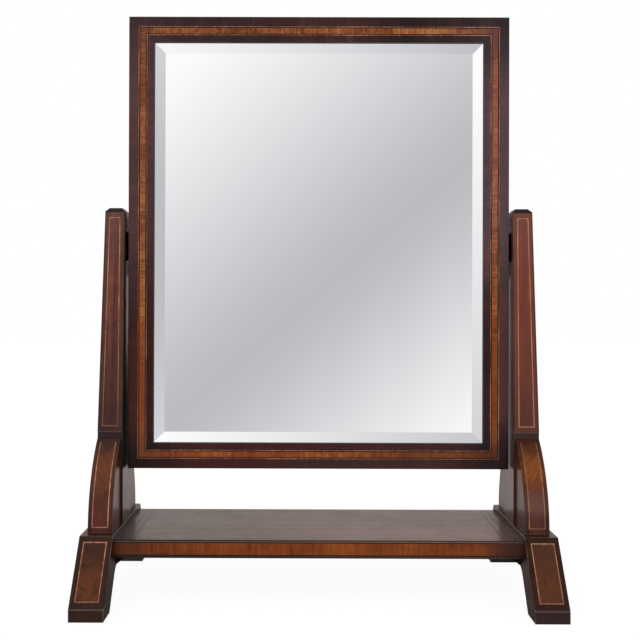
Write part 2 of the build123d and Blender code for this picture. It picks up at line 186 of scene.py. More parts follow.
def polishedWood(name, look, choosePlace=None, shade=None, rubbedAndLitPlaces=None, dullPlaces=None):
    # Grain, pores, figure and tone of one polished wood. choosePlace picks the fibre direction where a
    # piece has more than one, shade adds what belongs to that piece alone, painted light and shade among it,
    # the rubbed places keep the lighter arrises, part wear and part painted highlight, to the chosen edges,
    # and dullPlaces takes the shine off.
    material, tree, shader, place = newFinish(name)
    if choosePlace:
        run, lengthwise = choosePlace(tree, place)
    else:
        run = turnedAlong(tree, place, look["fibres"])
        lengthwise = splitPlace(tree, run)[2]
    bands = cloudy(tree, stretched(tree, run, (1, 1, look["bandStretch"])), look["bandScale"], 3, 0.55, 0.6)
    fibre = cloudy(tree, stretched(tree, run, (1, 1, 0.03)), look["fibreScale"], 5, 0.7)
    pores = rise(tree, cloudy(tree, stretched(tree, run, (1, 1, 0.06)), look["poreScale"], 2, 0.6), 0.58, 0.70)
    figure = cloudy(tree, stretched(tree, run, (0.7, 0.7, 1.6)), look["figureScale"], 2, 0.5, 1.2)
    patches = cloudy(tree, place, look["patchScale"], 3, 0.6)
    level = 0.5
    for field, contrast in ((bands, "bandContrast"), (fibre, "fibreContrast"), (figure, "figureContrast"),
                            (patches, "patchContrast")):
        level = sway(tree, field, look[contrast], level)
    if look.get("veneerLength"):
        joint = chequer(tree, lengthwise, look["veneerLength"], look.get("veneerShift", 0.31))
        level = sway(tree, joint, look["veneerContrast"], level)
    colour = blendColour(tree, rise(tree, level, 0.0, 0.55), look["dark"], look["middle"])
    colour = blendColour(tree, rise(tree, level, 0.45, 1.0), colour, look["light"])
    colour = blendColour(tree, times(tree, pores, look["poreStrength"]), colour, look["pore"])
    if shade:
        colour = shade(tree, place, colour)
    normal, edge = arris(tree, look["arrisRadius"])
    # lighter arrises: part wear, part painted highlight
    rubbed = times(tree, edge, rise(tree, cloudy(tree, place, 55, 4, 0.7), 0.32, 0.60))
    if rubbedAndLitPlaces:
        rubbed = times(tree, rubbed, rubbedAndLitPlaces(tree, place))
    colour = blendColour(tree, times(tree, rubbed, look["wearAndLit"]), colour, look["wornAndLit"])
    tree.links.new(colour, shader.inputs["Base Color"])
    handled = cloudy(tree, place, 24, 4, 0.62)
    rough = sway(tree, handled, 0.22, look["roughness"])
    rough = calc(tree, "MULTIPLY_ADD", pores, 0.10, rough, clamp=True)
    tree.links.new(rough, shader.inputs["Roughness"])
    shader.inputs["Specular IOR Level"].default_value = look["gloss"]
    shader.inputs["Coat Weight"].default_value = look["polish"]
    shader.inputs["Coat Roughness"].default_value = look["polishRoughness"]
    if dullPlaces:
        dull = dullPlaces(tree, place)
        feed(tree, shader.inputs["Roughness"], calc(tree, "MULTIPLY_ADD", dull, 0.6, rough, clamp=True))
        feed(tree, shader.inputs["Coat Weight"], times(tree, inverse(tree, dull), look["polish"]))
    relief = calc(tree, "SUBTRACT", times(tree, fibre, 0.5), pores)
    relief = calc(tree, "MULTIPLY_ADD", cloudy(tree, place, 18, 2, 0.5), look["ripple"], relief)
    raised(tree, shader, relief, look["reliefDepth"], normal)
    return material


mahogany = {
    "fibres": "Z", "bandScale": 90.0, "bandStretch": 0.10, "bandContrast": 1.5,
    "fibreScale": 620.0, "fibreContrast": 1.3, "poreScale": 900.0, "poreStrength": 0.45,
    "figureScale": 42.0, "figureContrast": 0.7, "patchScale": 11.0, "patchContrast": 1.6,
    "dark": (40, 18, 14), "middle": (74, 35, 26), "light": (112, 60, 42),
    "pore": (24, 11, 9), "wornAndLit": (138, 92, 70), "wearAndLit": 0.6,
    "roughness": 0.34, "gloss": 0.22, "polish": 0.14, "polishRoughness": 0.12,
    "arrisRadius": 0.0007, "reliefDepth": 0.00006, "ripple": 2.0,
}
frameSizes = {"halfWidth": 0.2145, "foot": 0.134, "top": 0.6435, "veneerBack": -0.0088, "border": 0.0287}


def frameFront(tree, place):
    # the face veneer is crossbanded; the wood behind it runs along each member
    depth = splitPlace(tree, place)[1]
    return calc(tree, "LESS_THAN", depth, frameSizes["veneerBack"])


def railPlace(tree, place):
    share = frameFront(tree, place)
    run = blendPlace(tree, share, turnedAlong(tree, place, "X"), turnedAlong(tree, place, "Z"))
    return run, splitPlace(tree, place)[0]


def stilePlace(tree, place):
    share = frameFront(tree, place)
    run = blendPlace(tree, share, turnedAlong(tree, place, "Z"), turnedAlong(tree, place, "X"))
    return run, splitPlace(tree, place)[2]


def fromFrameEdges(tree, place):
    x, z = splitPlace(tree, place, "XZ")
    middle = (frameSizes["foot"] + frameSizes["top"]) / 2
    halfHeight = (frameSizes["top"] - frameSizes["foot"]) / 2
    fromSide = calc(tree, "SUBTRACT", frameSizes["halfWidth"], calc(tree, "ABSOLUTE", x))
    fromEnd = calc(tree, "SUBTRACT", halfHeight, calc(tree, "ABSOLUTE", calc(tree, "SUBTRACT", z, middle)))
    return fromSide, fromEnd


def frameArrises(tree, place):
    # the outer and the sight edges wear and carry a painted highlight; the edges of the inlay channels don't
    nearest = calc(tree, "MINIMUM", *fromFrameEdges(tree, place))
    outer = rise(tree, nearest, 0.004, 0.002)
    sight = rise(tree, nearest, frameSizes["border"] - 0.003, frameSizes["border"] - 0.001)
    return calc(tree, "MAXIMUM", outer, sight)


def frameShade(tree, place, colour):
    # painted sheen greys both sides above the middle and lightens the right stile below it; redder below the
    # middle and greyer along the bottom rail right of the middle, with painted shade along the top, in the lower
    # corners and on the inner part of the stiles low down
    x, z = splitPlace(tree, place, "XZ")
    out = calc(tree, "ABSOLUTE", x)
    sides = rise(tree, out, 0.165, 0.200)
    # painted sheen on both sides above the middle
    upperSheen = times(tree, rise(tree, z, 0.29, 0.42, 0.0, 0.34), rise(tree, z, 0.640, 0.595, 0.35, 1.0), sides)
    sheenGrey = blendColour(tree, rightward(tree, x), (98, 68, 72), (116, 98, 106))
    redder = times(tree, rise(tree, z, 0.36, 0.27), rise(tree, x, 0.16, 0.20, 0.45, 0.15))
    greyerBottom = times(tree, rise(tree, x, -0.10, 0.0), rise(tree, z, 0.147, 0.145, 0.0, 0.35), rise(tree, x, 0.17, 0.12))
    # painted sheen on the right stile below the middle
    rightStileSheen = times(tree, rise(tree, x, 0.19, 0.20), between(tree, z, 0.185, 0.340, 0.020), 0.38)
    # painted shade in the lower corners
    corners = times(tree, rise(tree, z, 0.195, 0.145), rise(tree, out, 0.12, 0.20, 0.0, 0.75))
    edge = blendColour(tree, rightward(tree, x), (16, 8, 8), (24, 9, 15))
    # painted shade on the inner part of the stiles low down
    inner = rise(tree, calc(tree, "MINIMUM", *fromFrameEdges(tree, place)), 0.016, 0.018, 0.0, 0.65)
    shady = times(tree, inner, sides, rise(tree, z, 0.38, 0.24))
    # painted shade along the top
    topShade = times(tree, rise(tree, z, 0.55, 0.615),
                 calc(tree, "ADD", rise(tree, out, 0.0, 0.13, 0.05, 0.35), rise(tree, x, 0.08, 0.17, 0.0, 0.25)))
    return stained(tree, colour, (upperSheen, sheenGrey), (redder, (72, 24, 14)), (greyerBottom, (54, 46, 38)),
                   (rightStileSheen, (104, 68, 72)), (corners, edge), (shady, (20, 6, 4)), (topShade, (30, 26, 30)))


frameWood = dict(mahogany, dark=(30, 14, 12), middle=(58, 30, 27),
                 light=(88, 52, 48), wornAndLit=(104, 76, 66), wearAndLit=0.45,
                 bandContrast=0.7, fibreContrast=0.7, veneerLength=0.071, veneerContrast=0.14,
                 figureContrast=0.4, patchScale=7.0, patchContrast=1.5, gloss=0.13, polish=0.07)
railFinish = polishedWood("railMahogany", frameWood, railPlace, frameShade, frameArrises)
stileFinish = polishedWood("stileMahogany", dict(frameWood, veneerShift=0.62), stilePlace, frameShade, frameArrises)


postShape = {"inner": 0.2175, "outerFoot": 0.2457, "outerSlope": -0.0236, "shoulder": 0.1765, "front": 0.0225,
             "frontSlope": -0.0366, "innerMargin": 0.0058, "outerMargin": 0.0053}


def postFace(tree, z, slope, start):
    # how far out one of the tapered faces stands at each height
    rising = calc(tree, "SUBTRACT", z, postShape["shoulder"])
    return calc(tree, "MULTIPLY_ADD", rising, postShape[slope], postShape[start])


def postShadowStrip(tree, place):
    # painted shade: a matt dark strip down the front of the left post's inner face, in the gap beside the frame,
    # growing wider towards its foot
    x, y, z = splitPlace(tree, place)
    onLeft = calc(tree, "LESS_THAN", x, 0.0)
    onFace = rise(tree, calc(tree, "ABSOLUTE", x), postShape["inner"] + 0.0004, postShape["inner"] + 0.0001)
    strip = calc(tree, "MAXIMUM", rise(tree, y, -0.0080, -0.0110), rise(tree, z, 0.31, 0.20, 0.0, 0.85))
    strip = times(tree, strip, rise(tree, z, 0.134, 0.138))
    return times(tree, onLeft, onFace, strip)


def postShade(tree, place, colour):
    # the panel inside the strings is warmer than the margin, and the outer arrises are nearly black; painted
    # sheen lightens the upper post, painted shade darkens it towards the shoulder and on the neck below it, and
    # the shoulder's chamfer has a painted highlight
    x, y, z = splitPlace(tree, place)
    out = calc(tree, "ABSOLUTE", x)
    outer = postFace(tree, z, "outerSlope", "outerFoot")
    panel = between(tree, out, postShape["inner"] + postShape["innerMargin"],
                    calc(tree, "SUBTRACT", outer, postShape["outerMargin"]))
    right = rightward(tree, x)
    body = between(tree, out, postShape["inner"] + 0.0010, calc(tree, "SUBTRACT", outer, 0.0016), 0.0010)
    # the outer faces keep their colour behind the front arrises
    front = postFace(tree, z, "frontSlope", "front")
    behindFront = rise(tree, calc(tree, "SUBTRACT", calc(tree, "ABSOLUTE", y), front), -0.0020, -0.0045)
    outside = rise(tree, calc(tree, "SUBTRACT", out, outer), -0.0040, -0.0025)
    seen = inverse(tree, times(tree, behindFront, outside))
    # painted shade: darker down towards the shoulder, less so on the right post
    low = times(tree, rise(tree, z, 0.31, 0.17), calc(tree, "MULTIPLY_ADD", right, -0.22, 0.62))
    # painted sheen on the upper post
    postTopSheen = times(tree, rise(tree, z, 0.33, 0.42), 0.26)
    # painted highlight on the shoulder's chamfer
    line = between(tree, z, postShape["shoulder"], postShape["shoulder"] + 0.0009, 0.0003)
    # painted shadow on the neck under the shoulder
    neckShade = times(tree, rise(tree, z, postShape["shoulder"] + 0.0002, postShape["shoulder"] - 0.0004),
                 rise(tree, z, 0.120, 0.160, 0.25, 0.75), seen)
    return stained(
        tree, colour, (times(tree, inverse(tree, panel), 0.30), (44, 24, 22)),
        (times(tree, right, 0.34), (146, 68, 44)), (times(tree, inverse(tree, body), seen, 0.70), (24, 13, 12)),
        (low, (40, 20, 16)), (postTopSheen, (112, 80, 72)), (times(tree, line, 0.5), (134, 110, 104)),
        (postShadowStrip(tree, place), (14, 9, 8)), (neckShade, (22, 13, 12)))


def postArrises(tree, place):
    x, z = splitPlace(tree, place, "XZ")
    # painted highlight, with some wear: the shoulder's chamfer, and the inner front arris, most on the right post
    # higher up
    shoulder = between(tree, z, postShape["shoulder"] - 0.0006, postShape["shoulder"] + 0.0016, 0.0003)
    innerEdge = rise(tree, calc(tree, "ABSOLUTE", x), postShape["inner"] + 0.0020, postShape["inner"] + 0.0012)
    strength = times(tree, rightward(tree, x), rise(tree, z, 0.24, 0.30))
    strength = calc(tree, "MULTIPLY_ADD", strength, 0.5, 0.4)
    return calc(tree, "MAXIMUM", shoulder, times(tree, innerEdge, strength))


postWood = dict(mahogany, dark=(56, 24, 18), middle=(90, 45, 33),
                light=(122, 68, 50), bandStretch=0.04, figureContrast=0.4, patchContrast=0.6,
                wornAndLit=(168, 134, 124), wearAndLit=0.9)
postFinish = polishedWood("postMahogany", postWood, None, postShade, postArrises, postShadowStrip)


def flame(tree, place, lean, scale):
    # streaks of figure leaning the same way on both sides of the object
    x, y, z = splitPlace(tree, place)
    out = calc(tree, "ABSOLUTE", x)
    across = calc(tree, "ADD", times(tree, z, math.cos(lean)), times(tree, out, -math.sin(lean)))
    along = calc(tree, "ADD", times(tree, z, math.sin(lean)), times(tree, out, math.cos(lean)))
    streaks = joinPlace(tree, times(tree, across, 3.0), y, times(tree, along, 0.7))
    return cloudy(tree, streaks, scale, 4, 0.6, 0.9)


bracketShape = {"panel": (0.2243, 0.2411), "faces": (0.2210, 0.2444), "foot": (0.0752, 0.0762)}


def bracketShade(tree, place, colour):
    # flame figure that is brightest near the top of the curve, going redder lower down; painted shadow darkens
    # the very top under the post's shoulder, painted shade the inner faces, and a painted highlight runs along the
    # foot
    x, y, z = splitPlace(tree, place)
    out = calc(tree, "ABSOLUTE", x)
    panel = between(tree, out, *bracketShape["panel"])
    figure = flame(tree, place, 0.75, 95.0)
    # the right-hand brackets show much more flame than the left-hand ones
    warm = times(tree, rise(tree, z, 0.105, 0.140), rise(tree, figure, 0.30, 0.62, 0.3, 1.0),
                 rise(tree, y, -0.010, -0.024), rightward(tree, x, 0.35, 0.95))
    ruddy = times(tree, rise(tree, z, 0.115, 0.090), panel, 0.35)
    palerBand = times(tree, between(tree, z, 0.097, 0.118, 0.008), rightward(tree, x, 0.0, 0.35))
    # painted shade on the inner faces
    inside = rise(tree, out, postShape["inner"] + 0.0005, postShape["inner"] + 0.0002, 0.0, 0.6)
    # painted highlight along the foot of the bracket
    joint = between(tree, z, *bracketShape["foot"], 0.0002)
    return stained(
        tree, colour, (warm, (142, 76, 32)), (ruddy, (104, 52, 44)), (palerBand, (130, 96, 90)),
        # painted shadow at the very top, under the post's shoulder
        (times(tree, rise(tree, z, 0.140, 0.170), 0.80), (30, 14, 6)),
        (times(tree, inverse(tree, panel), 0.5), (44, 24, 18)), (inside, (26, 20, 16)),
        (times(tree, joint, 0.25), (150, 124, 112)), (postShadowStrip(tree, place), (14, 9, 8)))


def bracketArrises(tree, place):
    x, z = splitPlace(tree, place, "XZ")
    out = calc(tree, "ABSOLUTE", x)
    # painted highlight, with some wear, on the side arrises and along the foot of the curve
    sides = inverse(tree, between(tree, out, *bracketShape["faces"]))
    return calc(tree, "MAXIMUM", times(tree, sides, 0.5), rise(tree, z, 0.0768, 0.0760))


bracketWood = dict(mahogany, dark=(44, 20, 12), middle=(78, 38, 24),
                   light=(110, 60, 38), bandContrast=0.9, figureContrast=0.6, patchContrast=0.8,
                   wornAndLit=(150, 104, 78), wearAndLit=0.8, gloss=0.15, polish=0.09)
bracketFinish = polishedWood("bracketMahogany", bracketWood, None, bracketShade, bracketArrises, postShadowStrip)


footShape = {"panelWidth": (0.2220, 0.2458), "panelHeight": (0.0190, 0.0697), "toe": (0.0119, 0.0132)}


def footShade(tree, place, colour):
    # figured veneer on the raking front, with a dark margin outside the string and a painted highlight along the
    # top of the toe
    x, z = splitPlace(tree, place, "XZ")
    panel = times(tree, between(tree, calc(tree, "ABSOLUTE", x), *footShape["panelWidth"]),
                  between(tree, z, *footShape["panelHeight"]))
    figure = cloudy(tree, place, 95.0, 3, 0.6, 0.8)
    # the left foot is the brighter of the two low down
    warm = times(tree, panel, rise(tree, figure, 0.30, 0.62, 0.25, 1.0),
                 rise(tree, z, 0.062, 0.036, 0.10, 0.85), rise(tree, x, 0.1, -0.1, 0.30, 0.60))
    fawn = times(tree, panel, rightward(tree, x, 0.0, 0.22))
    rightToe = times(tree, rightward(tree, x), rise(tree, z, 0.0170, 0.0120, 0.0, 0.45))
    # painted highlight along the top of the toe
    toe = between(tree, z, *footShape["toe"], 0.0004)
    return stained(
        tree, colour, (warm, (122, 60, 20)), (fawn, (116, 72, 50)),
        (times(tree, inverse(tree, panel), 0.45), (34, 18, 10)), (rightToe, (50, 38, 46)),
        (times(tree, toe, 0.35), (120, 100, 92)))


def footArrises(tree, place):
    x, z = splitPlace(tree, place, "XZ")
    # painted highlight, with some wear, on the top and toe edges and on the inner top edge of the rail
    inner = times(tree, rise(tree, calc(tree, "ABSOLUTE", x), 0.2190, 0.2180), rise(tree, z, 0.044, 0.052))
    ends = calc(tree, "MAXIMUM", rise(tree, z, 0.0725, 0.0735), rise(tree, z, 0.0145, 0.0135))
    return calc(tree, "MAXIMUM", ends, times(tree, inner, 0.7))


footWood = dict(mahogany, fibres="Y", dark=(36, 18, 11), middle=(58, 31, 18),
                light=(84, 48, 28), bandContrast=0.9, figureContrast=0.5, patchContrast=0.8,
                arrisRadius=0.0011, wornAndLit=(184, 160, 150), wearAndLit=1.0, gloss=0.12, polish=0.07)
footFinish = polishedWood("footMahogany", footWood, None, footShade, footArrises)


shelfShape = {"firstLine": (0.1962, 0.1980), "secondLine": (0.2042, 0.2060), "arris": (0.0681, 0.0690)}


def shelfDarkFront(tree, place):
    # the front edge of the top is darker and dull
    y, z = splitPlace(tree, place, "YZ")
    return times(tree, rise(tree, y, -0.0685, -0.0705, 0.0, 0.85), rise(tree, z, 0.0690, 0.0693))


def shelfShade(tree, place, colour):
    # darker to the left and redder to the right; the clamped ends are darker still, painted shade darkens the
    # underside and the lowest strip of the front edge, and the top front arris has a painted highlight
    x, y, z = splitPlace(tree, place)
    out = calc(tree, "ABSOLUTE", x)
    rosy = times(tree, rise(tree, x, -0.10, 0.05, 0.0, 0.35), rise(tree, y, 0.02, -0.05))
    # darker along the two inlaid lines, more so at the right end
    alongLines = calc(tree, "MAXIMUM", between(tree, out, *shelfShape["firstLine"], 0.0003),
                    between(tree, out, *shelfShape["secondLine"], 0.0003))
    alongLines = times(tree, alongLines, rise(tree, x, 0.0, 0.1, 0.25, 0.75))
    # painted highlight along the top front arris
    arrisHighlight = between(tree, z, *shelfShape["arris"], 0.0002)
    # painted shade on the underside and the lowest strip of the front edge
    return stained(
        tree, colour, (rise(tree, x, 0.00, -0.14, 0.0, 0.55), (40, 27, 17)), (rosy, (130, 88, 84)),
        (rise(tree, out, 0.1965, 0.1985, 0.0, 0.42), (36, 22, 17)), (alongLines, (22, 13, 11)),
        (times(tree, arrisHighlight, 0.5), (120, 104, 88)), (rise(tree, z, 0.0545, 0.0538, 0.0, 0.75), (24, 12, 8)),
        (shelfDarkFront(tree, place), (22, 14, 11)))


shelfWood = dict(mahogany, fibres="X", dark=(38, 25, 17), middle=(75, 53, 39),
                 light=(113, 86, 66), bandScale=120.0, bandStretch=0.03, bandContrast=1.5,
                 figureContrast=0.3, patchContrast=0.6, gloss=0.175, polish=0.07,
                 roughness=0.30, reliefDepth=0.00003, ripple=0.5)


def shelfArrises(tree, place):
    # only the upper arrises are rubbed, with a painted highlight
    return rise(tree, splitPlace(tree, place)[2], 0.0685, 0.0690)


shelfFinish = polishedWood("shelfMahogany", shelfWood, None, shelfShade, shelfArrises, shelfDarkFront)

satinwood = dict(mahogany, dark=(96, 42, 16), middle=(142, 78, 38),
                 light=(186, 118, 66), pore=(84, 38, 16), poreStrength=0.3,
                 wearAndLit=0.0, arrisRadius=0.0002, bandScale=260.0, bandStretch=0.2, bandContrast=1.3,
                 figureScale=110.0, figureContrast=0.7, patchScale=16.0, patchContrast=1.3,
                 veneerLength=0.052, veneerContrast=0.22, gloss=0.12, polish=0.07)


def mitredPlace(tree, place):
    # across the band on all four sides, changing over along the mitres
    x, z = splitPlace(tree, place, "XZ")
    onStile = calc(tree, "LESS_THAN", *fromFrameEdges(tree, place))
    run = blendPlace(tree, onStile, turnedAlong(tree, place, "Z"), turnedAlong(tree, place, "X"))
    return run, mixed(tree, onStile, x, z)


def bandShade(tree, place, colour):
    # more orange low down, a painted pink sheen up the right side, and browner in the corners and at the lower right
    x, z = splitPlace(tree, place, "XZ")
    out = calc(tree, "ABSOLUTE", x)
    # painted sheen up the right side
    rightSheen = times(tree, rise(tree, x, 0.180, 0.195), rise(tree, z, 0.34, 0.46, 0.0, 0.4))
    lowSides = times(tree, rise(tree, out, 0.180, 0.190), rise(tree, z, 0.36, 0.24, 0.0, 0.45))
    leftSide = times(tree, rise(tree, x, -0.180, -0.190, 0.0, 0.30), rise(tree, z, 0.30, 0.40))
    ends = calc(tree, "ADD", rise(tree, z, 0.57, 0.62), rise(tree, z, 0.19, 0.155))
    corners = times(tree, ends, rise(tree, out, 0.150, 0.190, 0.0, 0.30))
    topRight = times(tree, rise(tree, x, 0.12, 0.17, 0.0, 0.5), rise(tree, z, 0.58, 0.61))
    lowRight = times(tree, rise(tree, x, 0.0, 0.12, 0.0, 0.50), rise(tree, z, 0.165, 0.155))
    return stained(
        tree, colour, (rise(tree, z, 0.36, 0.24, 0.0, 0.48), (144, 58, 2)), (rightSheen, (144, 94, 92)),
        (lowSides, (122, 54, 0)), (leftSide, (98, 52, 30)), (corners, (66, 44, 42)), (topRight, (92, 56, 52)),
        (lowRight, (62, 24, 6)))


def shelfBandPlace(tree, place):
    return turnedAlong(tree, place, "Z"), splitPlace(tree, place)[0]


def shelfBandShade(tree, place, colour):
    # both ends of the shelf edge are darker brown, and the right one nearly black under a painted shadow of the foot
    x = splitPlace(tree, place)[0]
    ends = rise(tree, calc(tree, "ABSOLUTE", x), 0.150, 0.205)
    # painted shadow of the foot over the right end
    return stained(tree, colour, (times(tree, ends, 0.55), (66, 34, 20)),
                   (times(tree, rise(tree, x, 0.172, 0.200), 0.7), (44, 26, 22)))


bandFinish = polishedWood("frameSatinwood", satinwood, mitredPlace, bandShade)
shelfBand = dict(satinwood, dark=(92, 36, 6), middle=(124, 58, 14),
                 light=(150, 78, 28), bandContrast=0.9, figureScale=60.0, figureContrast=0.5,
                 veneerLength=0.066, veneerContrast=0.12)
shelfBandFinish = polishedWood("shelfSatinwood", shelfBand, shelfBandPlace, shelfBandShade)

boxwood = dict(mahogany, dark=(126, 74, 50), middle=(172, 112, 82),
               light=(208, 150, 116), pore=(110, 64, 44), poreStrength=0.15, wearAndLit=0.0,
               bandScale=300.0, fibreScale=1200.0, patchScale=14.0, patchContrast=1.3, arrisRadius=0.0001,
               gloss=0.16, polish=0.06)


def stringShade(tree, place, colour):
    # the lines in the left post are dimmer and those in the right one brighter; painted shade darkens them just
    # below the shoulder
    x, z = splitPlace(tree, place, "XZ")
    left = rise(tree, x, 0.1, -0.1)
    onPost = rise(tree, z, postShape["shoulder"], postShape["shoulder"] + 0.002)
    dim = times(tree, left, onPost, rise(tree, z, 0.28, 0.19, 0.20, 0.75))
    bright = times(tree, onPost, inverse(tree, left), 0.15)
    below = inverse(tree, onPost)
    duller = times(tree, below, inverse(tree, left), 0.22)
    # painted shade just below the shoulder
    neckShade = times(tree, below, rise(tree, z, 0.135, 0.165, 0.0, 0.55))
    low = rise(tree, z, 0.030, 0.020, 0.0, 0.40)
    return stained(tree, colour, (dim, (92, 54, 44)), (bright, (222, 164, 128)), (duller, (92, 70, 58)),
                   (neckShade, (104, 62, 42)), (low, (96, 62, 48)))


boxwoodFinish = polishedWood("boxwoodLine", boxwood, None, stringShade)
frameLine = dict(boxwood, dark=(72, 42, 32), middle=(122, 78, 60),
                 light=(174, 124, 100), patchContrast=2.0)
frameLineFinish = polishedWood("frameBoxwoodLine", frameLine)
ebony = dict(mahogany, dark=(12, 8, 8), middle=(24, 14, 12),
             light=(44, 27, 23), pore=(8, 6, 6), wornAndLit=(84, 62, 50), wearAndLit=0.3,
             arrisRadius=0.0004, gloss=0.14, polish=0.06)
ebonyFinish = polishedWood("ebonisedLine", ebony)
pine = dict(mahogany, fibres="Z", dark=(120, 78, 44), middle=(160, 116, 72),
            light=(190, 148, 102), pore=(104, 66, 38), poreStrength=0.2,
            wornAndLit=(176, 140, 104), wearAndLit=0.4, bandScale=60.0, bandStretch=0.03, bandContrast=1.3,
            roughness=0.72, gloss=0.25, polish=0.0, patchContrast=0.5, veneerLength=None)


def backboardShade(tree, place, colour):
    # two boards, with a dark joint and a few knots, and grimy in patches
    joint = between(tree, splitPlace(tree, place)[0], 0.0115, 0.0125, 0.0004)
    knots = newNode(tree, "ShaderNodeTexVoronoi", {
        "Vector": stretched(tree, place, (1.0, 0.0, 0.55)), "Scale": 6.0})
    knot = rise(tree, knots.outputs["Distance"], 0.055, 0.02)
    grime = rise(tree, cloudy(tree, place, 9, 5, 0.65), 0.45, 0.75)
    return stained(tree, colour, (times(tree, joint, 0.8), (52, 34, 22)), (times(tree, knot, 0.75), (84, 48, 26)),
                   (times(tree, grime, 0.5), (92, 66, 44)))


backboardFinish = polishedWood("agedPine", pine, None, backboardShade)
blockFinish = polishedWood("pineBlock", dict(pine, fibres="Y"))
# painted shade: the glue blocks under the shelf are made near black because they sit in shade
glueBlockFinish = polishedWood("shadowDarkBlock", dict(pine, fibres="Y", dark=(14, 9, 7),
                               middle=(26, 17, 13), light=(40, 27, 20), gloss=0.1))
beechFinish = polishedWood("beechDowel", dict(pine, dark=(150, 108, 72),
                           middle=(182, 140, 100), light=(204, 166, 126), bandContrast=0.4))
keyFinish = polishedWood("stainedKey", dict(frameWood, veneerLength=None, fibres="X",
                         middle=(88, 52, 34), light=(116, 74, 48)))


def oldBrass(name, look):
    material, tree, shader, place = newFinish(name)
    tarnish = cloudy(tree, place, 190, 6, 0.7)
    blotch = cloudy(tree, place, 60, 3, 0.6)
    spots = rise(tree, calc(tree, "MULTIPLY_ADD", tarnish, 0.6, times(tree, blotch, 0.5)), 0.46, 0.66)
    normal, edge = arris(tree, 0.0004)
    colour = blendColour(tree, spots, look["bright"], look["tarnished"])
    colour = blendColour(tree, times(tree, edge, 0.6), colour, look["rubbed"])
    tree.links.new(colour, shader.inputs["Base Color"])
    shader.inputs["Metallic"].default_value = 1.0
    rough = calc(tree, "MULTIPLY_ADD", spots, 0.28, look["roughness"])
    tree.links.new(rough, shader.inputs["Roughness"])
    scratches = cloudy(tree, stretched(tree, place, (1, 1, 0.06)), 1500, 2, 0.5)
    raised(tree, shader, calc(tree, "MULTIPLY_ADD", scratches, 0.4, tarnish), 0.00003, normal)
    return material


brass = {"bright": (128, 100, 58), "tarnished": (58, 44, 28),
         "rubbed": (176, 144, 88), "roughness": 0.30}
brassFinish = oldBrass("agedBrass", brass)
blackenedBrass = dict(brass, bright=(56, 44, 30), tarnished=(18, 15, 13),
                      rubbed=(92, 74, 48), roughness=0.36)
pivotFinish = oldBrass("blackenedBrass", blackenedBrass)


def oiledLeather(name):
    material, tree, shader, place = newFinish(name)
    pebble = newNode(tree, "ShaderNodeTexVoronoi", {"Vector": place, "Scale": 900.0})
    colour = blendColour(tree, rise(tree, pebble.outputs["Distance"], 0.1, 0.7), (70, 44, 28), (38, 24, 17))
    tree.links.new(colour, shader.inputs["Base Color"])
    rough = calc(tree, "MULTIPLY_ADD", cloudy(tree, place, 200, 3), 0.3, 0.5)
    tree.links.new(rough, shader.inputs["Roughness"])
    raised(tree, shader, pebble.outputs["Distance"], 0.0001, None, 0.6)
    return material


leatherFinish = oiledLeather("oiledLeather")


def silveredPlate(name, look):
    # bright silvering seen through the plate; the back has its dark protective coat
    material, tree, shader, place = newFinish(name)
    depth = splitPlace(tree, place)[1]
    back = calc(tree, "GREATER_THAN", depth, look["coatDepth"])
    palerBand = cloudy(tree, place, 30, 5, 0.6)
    speckle = rise(tree, cloudy(tree, place, 420, 3, 0.7), 0.70, 0.78)
    silver = blendColour(tree, times(tree, speckle, 0.10), look["silver"], look["speck"])
    coat = blendColour(tree, rise(tree, palerBand, 0.3, 0.7), look["coatDark"], look["coatLight"])
    tree.links.new(blendColour(tree, back, silver, coat), shader.inputs["Base Color"])
    tree.links.new(inverse(tree, back), shader.inputs["Metallic"])
    clean = calc(tree, "MULTIPLY_ADD", rise(tree, palerBand, 0.45, 0.8), 0.02, look["roughness"])
    tree.links.new(calc(tree, "MULTIPLY_ADD", back, 0.5, clean), shader.inputs["Roughness"])
    return material


plate = {
    "silver": (251, 251, 251), "speck": (190, 188, 180),
    "coatDark": (60, 24, 18), "coatLight": (92, 42, 30), "coatDepth": -0.0045,
    "roughness": 0.005, "bevelWidth": 0.01885, "bevelDrop": 0.0018,
}
plateFinish = silveredPlate("silveredPlate", plate)
print("finishes made")

wearers = (
    (railFinish, ("frame_top_rail", "frame_bottom_rail")), (stileFinish, ("frame_left_stile", "frame_right_stile")),
    (bandFinish, ("satinwood_band",)), (shelfBandFinish, ("shelf_satinwood_band",)),
    (frameLineFinish, ("outer_boxwood_line", "inner_boxwood_line")),
    (ebonyFinish, ("outer_ebony_line", "inner_ebony_line", "shelf_edge_lines", "shelf_top_lines", "post_cap")),
    (shelfFinish, ("shelf_board",)), (backboardFinish, ("backboard",)), (blockFinish, ("glazing_blocks",)),
    (glueBlockFinish, ("shelf_glue_blocks",)), (beechFinish, ("shelf_dowels", "bracket_dowels")),
    (keyFinish, ("mitre_keys",)), (plateFinish, ("mirror_glass",)), (leatherFinish, ("friction_washers",)),
    (brassFinish, ("frame_plate_screws", "post_plate_screws", "backboard_screws")),
    (postFinish, ("post",)), (bracketFinish, ("front_bracket", "rear_bracket")), (footFinish, ("sledge_foot",)),
    (pivotFinish, ("post_plate", "frame_plate")),
    (boxwoodFinish, ("post_stringing", "bracket_stringing", "foot_stringing")),
)
finishes = {}
for finish, names in wearers:
    for name in names:
        for node in (name, "left_" + name, "right_" + name):
            if node in nodes:
                finishes[node] = finish
for name, piece in nodes.items():
    if piece.material_slots:
        for slot in piece.material_slots:
            slot.material = finishes[name]
    else:
        piece.data.materials.append(finishes[name])
print("finishes laid on", len(finishes), "nodes")


